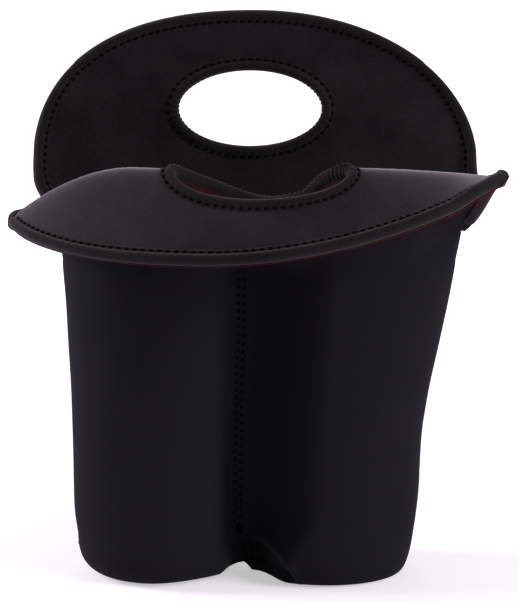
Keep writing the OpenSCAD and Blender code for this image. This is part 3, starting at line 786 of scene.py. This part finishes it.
def thread_stitches(points, out, up, stitch, closed=False, skip=0.0):
    """Short raised stitches along a line of points, each with its two ends in the cloth."""
    pitch, length, radius, arch = stitch
    if closed:
        points = np.concatenate([points, points[:1]])
        out = np.concatenate([out, out[:1]])
        up = np.concatenate([up, up[:1]])
    run = run_along(points, False)[0]
    count = max(1, int((run[-1] - skip) // pitch))
    pitch = (run[-1] - skip) / count
    verts, faces = [], []

    def at(values, s):
        return np.array([np.interp(s, run, values[:, k]) for k in range(3)])

    for n in range(count):
        middle = skip + (n + 0.5) * pitch
        base = len(verts)
        for share in THREAD_SHARES:
            s = middle + share * length / 2
            p, b, m = at(points, s), unit(at(out, s)), unit(at(up, s))
            lift = arch * (1 - share ** 2) - radius * 0.9 * abs(share) ** 4
            r = radius * (1 - 0.55 * abs(share) ** 3)
            for c in range(THREAD_SIDES):
                angle = 2 * math.pi * c / THREAD_SIDES
                verts.append(p + m * (lift + r * math.sin(angle)) + b * r * math.cos(angle))
        rings = np.array(verts[base:]).reshape(len(THREAD_SHARES), THREAD_SIDES, 3)
        faces += [tuple(base + i for i in f) for f in sweep(rings, False)[1]]
    return np.array(verts), faces


def joined(parts):
    verts, faces, count = [], [], 0
    for v, f in parts:
        verts.append(v)
        faces += [tuple(i + count for i in g) for g in f]
        count += len(v)
    return np.concatenate(verts), faces


def row_on(surface, line, closed, outward):
    points, out, up = edge_frame(surface, line, closed, outward)
    row = points - out * STITCH_INSET + up * 0.1
    return thread_stitches(row, out, up, EDGE_STITCH, closed)


# How far the facing's two faces lie under the shown face of its sheet
FACING_GAP, FACING_THICK = 5.02, 0.45


def facing(surface, loops, out, ways):
    """A thin sheet under the binding. Each loop grows by its own amounts, in its own way (1 or -1)."""
    grown = []
    for k, loop in enumerate(loops):
        along = np.roll(loop, -1, 0) - np.roll(loop, 1, 0)
        normal = unit(np.stack([along[:, 1], -along[:, 0]], -1)) * ways[k]
        grown.append(loop + normal * out[k][:, None])
    flat, tris = pattern(grown, FACING_SPACING)
    base = surface(flat[:, 0], flat[:, 1])
    normals = normal_of(surface, flat[:, 0], flat[:, 1])
    return closed_slab(base - normals * FACING_GAP, base - normals * (FACING_GAP + FACING_THICK), tris)


# Materials

def node(tree, kind, **values):
    n = tree.nodes.new(kind)
    for key, value in values.items():
        if key in n.inputs:
            n.inputs[key].default_value = value
        else:
            setattr(n, key, value)
    return n


def combined(tree, operation, first, second):
    """What a math node makes of two outputs."""
    n = node(tree, "ShaderNodeMath", operation=operation)
    tree.links.new(first, n.inputs[0])
    tree.links.new(second, n.inputs[1])
    return n.outputs[0]


# The knit, as the textures' scales: its fine loops and its broad shades
FINE_SCALE, LOOP_SCALE, BROAD_SCALE = 900.0, 1100.0, 38.0
BROAD_SHARE, FINE_SHARE = 0.45, 0.55


def fabric(name, dark, light, sheen, grain, bump, gloss, rough=0.85, tint=(1, 1, 1)):
    """Knitted cloth: uneven colour, fine loops, and a soft sheen."""
    material = bpy.data.materials.new(name)
    material.use_nodes = True
    tree = material.node_tree
    link = tree.links.new
    shader = tree.nodes["Principled BSDF"]
    shader.inputs["Roughness"].default_value = rough
    shader.inputs["Sheen Weight"].default_value = sheen
    shader.inputs["Sheen Roughness"].default_value = 0.45
    shader.inputs["Sheen Tint"].default_value = (*tint, 1)
    shader.inputs["Specular IOR Level"].default_value = gloss
    place = node(tree, "ShaderNodeTexCoord")
    fine = node(tree, "ShaderNodeTexNoise", Scale=FINE_SCALE / grain, Detail=3.0, Roughness=0.65)
    link(place.outputs["Object"], fine.inputs["Vector"])
    broad = node(tree, "ShaderNodeTexNoise", Scale=BROAD_SCALE, Detail=4.0, Roughness=0.6)
    link(place.outputs["Object"], broad.inputs["Vector"])
    shade = node(tree, "ShaderNodeMath", operation="MULTIPLY_ADD")
    shade.inputs[1].default_value = BROAD_SHARE
    link(broad.outputs["Fac"], shade.inputs[0])
    fine_part = node(tree, "ShaderNodeMath", operation="MULTIPLY")
    fine_part.inputs[1].default_value = FINE_SHARE
    link(fine.outputs["Fac"], fine_part.inputs[0])
    link(fine_part.outputs[0], shade.inputs[2])
    ramp = node(tree, "ShaderNodeValToRGB")
    for element, position, colour in zip(ramp.color_ramp.elements, (0.36, 0.66), (dark, light)):
        element.position = position
        element.color = (*colour, 1)
    link(shade.outputs[0], ramp.inputs["Fac"])
    link(ramp.outputs["Color"], shader.inputs["Base Color"])
    loops = node(tree, "ShaderNodeTexVoronoi", Scale=LOOP_SCALE / grain)
    link(place.outputs["Object"], loops.inputs["Vector"])
    height = combined(tree, "ADD", loops.outputs["Distance"], fine.outputs["Fac"])
    bumps = node(tree, "ShaderNodeBump", Strength=bump, Distance=0.0006)
    link(height, bumps.inputs["Height"])
    link(bumps.outputs["Normal"], shader.inputs["Normal"])
    return material


pocket_cloth = fabric("pocket_knit", (0.0085, 0.0080, 0.0104), (0.0115, 0.0108, 0.0140),
                      sheen=0.0, grain=0.5, bump=0.10, gloss=0.06, tint=(0.85, 0.86, 1.0))
flap_cloth = fabric("flap_knit", (0.0008, 0.0006, 0.0008), (0.0150, 0.0126, 0.0146),
                    sheen=0.50, grain=0.8, bump=0.2, gloss=0.05, tint=(1.0, 0.83, 0.98))
binding_cloth = fabric("binding_knit", (0.0050, 0.0041, 0.0047), (0.0130, 0.0110, 0.0124),
                       sheen=0.13, grain=0.7, bump=0.4, gloss=0.08, tint=(1.0, 0.86, 0.97))
facing_cloth = fabric("facing_knit", (0.032, 0.002, 0.005), (0.065, 0.005, 0.010),
                      sheen=0.1, grain=0.6, bump=0.3, gloss=0.1, tint=(1.0, 0.5, 0.55))
pocket_thread = fabric("dark_thread", (0.0034, 0.0034, 0.0042), (0.0056, 0.0056, 0.0068),
                       sheen=0.0, grain=0.4, bump=0.2, gloss=0.02, rough=0.8)
flap_thread = fabric("flap_thread", (0.0014, 0.0012, 0.0014), (0.0036, 0.0032, 0.0036),
                     sheen=0.0, grain=0.4, bump=0.2, gloss=0.02, rough=0.8)


def on_front_low(piece):
    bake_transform(piece)


def on_front_high(piece):
    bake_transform(piece)


def on_back(piece):
    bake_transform(piece)


def on_pockets(piece):
    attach(piece, "pockets")


def add(name, form, cloth, slot, follow, *nodes):
    """A dressed piece, handed to its follow step, that takes the place of its nodes."""
    piece = new_piece(name, *form)
    piece.data.materials.append(cloth)
    follow(piece)
    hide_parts(*nodes)
    return piece


def add_edge(name, form, follow, *nodes):
    return add(name, form, binding_cloth, "edge_binding", follow, *nodes)


def add_threads(name, form, follow, *nodes):
    return add(name, form, flap_thread, "flap_thread", follow, *nodes)


def add_lining(name, form, follow, *nodes):
    return add(name, form, facing_cloth, "facing_jersey", follow, *nodes)


# Sheets
front_low = add("front_sheet_low", make_front_low(), pocket_cloth, "pocket_neoprene", on_front_low,
                "front_panel", "front_collar")
front_high = add("front_sheet_high", make_front_high(), flap_cloth, "flap_neoprene", on_front_high,
                 "front_brim")
back_sheet = add("back_sheet", make_back(), pocket_cloth, "pocket_neoprene", on_back,
                 "back_panel", "back_flap")


def two_cloths(piece):
    """The flap's shown face wears the flap's cloth, and the rest the pockets'."""
    piece.data.materials.append(flap_cloth)
    start = piece["shown_from"]
    for polygon in piece.data.polygons:
        if start <= polygon.index and polygon.center.z > (FOLD_H - 14) * MM:
            polygon.material_index = 1


two_cloths(front_low)
two_cloths(back_sheet)


# Bindings and threads
for name, sign in SIDES:
    line = spaced(flap_side(sign), BINDING_SPACING)
    add_edge("front_collar_edge_" + name, binding(flap_front, line, False, -sign, start_thin=True),
             on_front_low, "front_collar_binding_" + name)

collar_rows = [row_on(flap_front, flap_side(sign), False, -sign) for sign in (-1, 1)]
add_threads("front_collar_threads", joined(collar_rows), on_front_low, "front_collar_stitching")

rim = rim_arc()
add_edge("front_rim_edge", binding(flap_front, spaced(rim, BINDING_SPACING), False, 1),
         on_front_high, "front_brim_binding")
add_threads("front_rim_threads", row_on(flap_front, rim, False, 1), on_front_high, "front_brim_stitching")


def front_gather(q):
    return smooth(((q[1] - HOLE_Y) / HOLE_D + 0.35) / 0.7) * (0.3 + 0.75 * smooth((q[0] - 4.0) / 30.0))


def rear_of_hole(q):
    return smooth(((q[..., 1] - HOLE_Y) / HOLE_D + 0.1) / 0.5)


def back_gather(q):
    return smooth((abs(q[0] + BACK_HOLE_SHIFT) / BACK_HOLE_W - 0.5) / 0.35)


front_ring = front_hole(FRONT_RING_SPACING)
add_edge("front_hole_edge", binding(flap_front, front_ring, True, -1, front_gather, rear_of_hole),
         on_front_high, "front_hole_binding_rear", "front_hole_binding_fore")
add_threads("front_hole_threads", row_on(flap_front, front_ring, True, -1),
            on_front_high, "front_hole_stitching")

outline = back_outline()
add_edge("back_rim_edge", binding(flap_back, spaced(outline, BINDING_SPACING), False, 1),
         on_back, "back_flap_binding")
add_threads("back_rim_threads", row_on(flap_back, outline, False, 1), on_back, "back_flap_stitching")

back_ring = back_hole(BACK_RING_SPACING)
add_edge("back_hole_edge", binding(flap_back, back_ring, True, -1, back_gather),
         on_back, "back_hole_binding")
add_threads("back_hole_threads", row_on(flap_back, back_ring, True, -1), on_back, "back_hole_stitching")


# Facings. The collar's stops short of the mouth's fold and of the mouth's corners; its sides are tucked in
# under the binding, and the brim's and the back flap's show a little past theirs
LINING_SHOW, LINING_TUCK, BACK_LINING_SHOW, BACK_HOLE_SHOW = 0.5, -6.0, 0.4, 0.3
LINING_END, LINING_HALF = 36.0, 118.0


def collar_loop():
    left, right = flap_side(-1), flap_side(1)
    keep = right[:, 1] < -LINING_END
    mouth = level(-LINING_HALF, LINING_HALF, -LINING_END - 1.5)
    cut = level(CUT_X, -CUT_X, CUT_Y)
    return np.concatenate([mouth, right[keep], cut[1:-1], left[keep][::-1]])[::-1]


low_loop = collar_loop()
at_side = (np.abs(low_loop[:, 0]) > LINING_HALF + 0.5) & (low_loop[:, 1] > CUT_Y + 0.01)
low_form = facing(flap_front, [low_loop], [np.where(at_side, LINING_TUCK, 0.0)], [1])
collar_lining = add_lining("front_collar_lining", low_form, on_front_low, "front_collar_facing")

high_loop = np.concatenate([rim, level(CUT_X, -CUT_X, CUT_Y)[1:-1]])
hole_loop = front_hole(HOLE_SPACING)
high_grown = [np.where(high_loop[:, 1] < CUT_Y - 0.01, LINING_SHOW, 0.0), 0.2 - 1.2 * rear_of_hole(hole_loop)]
high_form = facing(flap_front, [high_loop, hole_loop], high_grown, [1, -1])
brim_lining = add_lining("front_brim_lining", high_form, on_front_high, "front_brim_facing")

back_loop = np.concatenate([outline, level(-MOUTH_W, MOUTH_W, FOLD_H + 0.5, 80)[1:-1]])
hole_loop = back_hole(HOLE_SPACING)
back_grown = [np.where(back_loop[:, 1] > FOLD_H + 0.6, BACK_LINING_SHOW, 0.0)]
back_grown.append(np.full(len(hole_loop), BACK_HOLE_SHOW))
back_form = facing(flap_back, [back_loop, hole_loop], back_grown, [1, -1])
back_lining = add_lining("back_flap_lining", back_form, on_back, "back_flap_facing")


# Seams of the pockets
BARS = 9
CENTRE_BARS_DOWN, CENTRE_BARS_STEP, CENTRE_BARS_HALF = 6.2, 0.85, 2.6
CORNER_BARS_DOWN, CORNER_BARS_STEP, CORNER_BARS_HALF = 12.0, 1.0, 2.4
BASE_TOP = 4.2
# The bottom's rings, out over its top, down its rim and in underneath: share of the outline, and height
BASE_RINGS = ((0.2, BASE_TOP), (0.6, BASE_TOP), (1.0, BASE_TOP), (1.0, 1.4), (0.985, 0.45), (0.95, 0.08),
              (0.8, 0.0), (0.5, 0.0), (0.2, 0.0))


def add_seam(name, form, *nodes):
    return add(name, form, pocket_thread, "pocket_thread", on_pockets, *nodes)


def pocket_line(face, X, zs, lift):
    p = pocket(face, X, zs, True)
    q = pocket(face, X + 0.8, zs, True) - pocket(face, X - 0.8, zs, True)
    r = pocket(face, X, zs + 0.8, True) - pocket(face, X, zs - 0.8, True)
    normal = unit(np.cross(q, r)) * (1 if face < 0 else -1)
    return p + normal * lift, unit(q), normal


def centre_rows(face):
    zs = np.linspace(SEAM_LOW, FOLD_H - 10.0, 120)
    parts = []
    for k, X in enumerate((-SEAM_ROWS / 2 - 0.5, SEAM_ROWS / 2 - 0.5)):
        p, out, up = pocket_line(face, np.full_like(zs, X), zs, 0.05)
        parts.append(thread_stitches(p, out, up, CENTRE_STITCH, skip=2.2 * k))
    return joined(parts)


def centre_bars():
    """Close cross stitches over the lower end of the centre seam, on both faces."""
    parts = []
    for face in (FRONT, BACK):
        for k in range(BARS):
            z = SEAM_LOW - CENTRE_BARS_DOWN + CENTRE_BARS_STEP * k
            xs = np.linspace(-CENTRE_BARS_HALF, CENTRE_BARS_HALF, 7)
            p, out, up = pocket_line(face, xs, np.full_like(xs, z), 0.1)
            along = unit(np.gradient(p, axis=0))
            parts.append(thread_stitches(p, unit(np.cross(along, up)), up, CENTRE_BAR))
    return joined(parts)


def side_seam_rows(sign):
    zs = np.linspace(14.0, FOLD_H - 8.0, 110)
    end = -LEFT_MOUTH_W if sign < 0 else RIGHT_MOUTH_W
    parts = []
    for face in (FRONT, BACK):
        X = np.full_like(zs, end * (1 - 0.0012))
        p, out, up = pocket_line(face, X, zs, -0.25 - 0.6 * smooth((zs - 158.0) / 14.0)[:, None])
        parts.append(thread_stitches(p, out, up, SIDE_STITCH))
    return joined(parts)


def corner_bars(sign):
    """Bars of thread over the top of a side seam."""
    parts = []
    for k in range(BARS):
        z = FOLD_H - CORNER_BARS_DOWN + CORNER_BARS_STEP * k
        ys = np.linspace(-CORNER_BARS_HALF, CORNER_BARS_HALF, 7)
        edge = float(side_w(sign < 0, z))
        p = np.stack([np.full_like(ys, sign * (edge - 0.6)), ys, np.full_like(ys, z)], -1)
        up = np.tile((float(sign), 0.0, 0.0), (7, 1))
        out = np.tile((0.0, 0.0, 1.0), (7, 1))
        parts.append(thread_stitches(p, out, up, CORNER_BAR))
    return joined(parts)


def base_ring(sign, z, shrink):
    """The outline of a pocket's bottom, drawn in by a share."""
    phi = np.linspace(0, math.pi, 37)
    a = ((LEFT_MOUTH_W if sign < 0 else RIGHT_MOUTH_W) - STRIP) / 2
    X = sign * (STRIP + a * (1 - np.cos(phi)))
    X[0] = sign * (STRIP + 1e-4)
    lower = pocket(FRONT, X, 0.0, True, ROUND_IN)
    upper = pocket(BACK, X, 0.0, True, ROUND_IN)
    ring = np.concatenate([lower, upper[::-1][1:-1]])
    middle = ring.mean(0)
    out = middle + (ring - middle) * shrink
    out[:, 2] = z + foot_lift(out[:, 0])
    return out


def base_form(sign):
    verts, faces = sweep(np.array([base_ring(sign, z, share) for share, z in BASE_RINGS]), False)
    return verts, outward_faces(verts, faces)


def base_threads(sign):
    ring = base_ring(sign, BASE_TOP + 0.2, 0.9)
    out = unit(ring - ring.mean(0))
    up = np.tile((0.0, 0.0, 1.0), (len(ring), 1))
    return thread_stitches(ring, out, up, BOTTOM_STITCH, closed=True)


for name, face in (("front", FRONT), ("back", BACK)):
    add_seam("centre_threads_" + name, centre_rows(face), "centre_seam_stitching_" + name)
add_seam("centre_bars", centre_bars(), "centre_seam_bartacks")
for name, sign in SIDES:
    add_seam(name + "_side_threads", side_seam_rows(sign), name + "_side_seam_stitching")
for name, sign in SIDES:
    add_seam(name + "_corner_bars", corner_bars(sign), name + "_corner_bartack")
for name, sign in SIDES:
    add(name + "_bottom", base_form(sign), pocket_cloth, "pocket_neoprene", on_pockets, name + "_base")
    add_seam(name + "_bottom_threads", base_threads(sign), name + "_base_stitching")


# Stage, light and camera
# The floor, in metres: it runs from the front back to a bend, rises behind, and lies just under the feet
FLOOR_FRONT, FLOOR_BACK, FLOOR_BEND, FLOOR_TOP, FLOOR_HALF = -4.0, 3.2, 1.5, 4.5, 5.0
FLOOR_UNDER = 0.0002
# It glows for camera, glossy and transmission rays only, and less near the object, whose shadow so stays
GLOW = {"From Min": 0.35, "From Max": 1.1, "To Min": 0.46, "To Max": 1.0}


def plain_floor():
    """A pale floor that runs back and curves up behind."""
    profile = [(FLOOR_FRONT, 0.0), (FLOOR_BACK, 0.0)]
    for t in np.linspace(0, math.pi / 2, 13)[1:]:
        profile.append((FLOOR_BACK + FLOOR_BEND * math.sin(t), FLOOR_BEND - FLOOR_BEND * math.cos(t)))
    profile.append((FLOOR_BACK + FLOOR_BEND, FLOOR_TOP))
    verts, faces = [], []
    for y, z in profile:
        verts += [(-FLOOR_HALF, y, z - FLOOR_UNDER), (FLOOR_HALF, y, z - FLOOR_UNDER)]
    for k in range(len(profile) - 1):
        faces.append((2 * k, 2 * k + 1, 2 * k + 3, 2 * k + 2))
    mesh = bpy.data.meshes.new("floor")
    mesh.from_pydata(verts, [], faces)
    mesh.shade_smooth()
    floor = bpy.data.objects.new("floor", mesh)
    bpy.context.scene.collection.objects.link(floor)
    material = bpy.data.materials.new("pale_floor")
    material.use_nodes = True
    tree = material.node_tree
    shader = tree.nodes["Principled BSDF"]
    shader.inputs["Base Color"].default_value = (0.84, 0.75, 0.86, 1)
    shader.inputs["Roughness"].default_value = 0.9
    shader.inputs["Specular IOR Level"].default_value = 0.0
    link = tree.links.new
    rays = node(tree, "ShaderNodeLightPath")
    seen = combined(tree, "MAXIMUM", rays.outputs["Is Camera Ray"], rays.outputs["Is Glossy Ray"])
    seen = combined(tree, "MAXIMUM", seen, rays.outputs["Is Transmission Ray"])
    place = node(tree, "ShaderNodeTexCoord")
    far = node(tree, "ShaderNodeVectorMath", operation="LENGTH")
    link(place.outputs["Object"], far.inputs[0])
    fade = node(tree, "ShaderNodeMapRange", interpolation_type="SMOOTHSTEP")
    for key, value in GLOW.items():
        fade.inputs[key].default_value = value
    link(far.outputs["Value"], fade.inputs["Value"])
    glow = combined(tree, "MULTIPLY", seen, fade.outputs["Result"])
    shader.inputs["Emission Color"].default_value = (1, 1, 1, 1)
    link(glow, shader.inputs["Emission Strength"])
    mesh.materials.append(material)


def panel_light(name, place, target, size, power):
    data = bpy.data.lights.new(name, "AREA")
    data.shape = "RECTANGLE"
    data.size, data.size_y = size
    data.energy = power
    lamp = bpy.data.objects.new(name, data)
    lamp.location = place
    way = Vector(target) - Vector(place)
    lamp.rotation_euler = way.to_track_quat("-Z", "Y").to_euler()
    bpy.context.scene.collection.objects.link(lamp)


plain_floor()
panel_light("right_front_panel", (1.52, -0.88, 0.86), (0.0, 0, 0.15), (0.8, 1.0), 26.0)
panel_light("left_side_panel", (-1.68, 0.16, 0.80), (0, 0, 0.15), (0.6, 1.0), 30.0)
panel_light("top_panel", (0.0, -0.25, 1.7), (0, -0.05, 0.2), (1.2, 1.0), 1.0)
panel_light("back_panel_light", (-0.2, 1.6, 0.9), (0, 0, 0.2), (1.4, 0.9), 4.5)

world = bpy.data.worlds.new("studio")
bpy.context.scene.world = world
world.use_nodes = True
background = world.node_tree.nodes["Background"]
background.inputs["Color"].default_value = (1, 1, 1, 1)
background.inputs["Strength"].default_value = 0.25

# The camera, with its focal length in pixels of a picture that is 602 high
SENSOR = 36.0
FOCAL_PIXELS, PICTURE_PIXELS = 2275.0, 602.0
LOOK_DOWN = 11.1
camera_data = bpy.data.cameras.new("camera")
camera_data.sensor_fit = "VERTICAL"
camera_data.sensor_height = SENSOR
camera_data.lens = FOCAL_PIXELS / PICTURE_PIXELS * SENSOR
camera_data.clip_end = 30.0
camera = bpy.data.objects.new("camera", camera_data)
camera.location = (0.0086, -1.230, 0.395)
camera.rotation_euler = (math.radians(90.0 - LOOK_DOWN), 0.0, 0.0)
bpy.context.scene.collection.objects.link(camera)
bpy.context.scene.camera = camera
bpy.context.scene.view_settings.view_transform = "Standard"
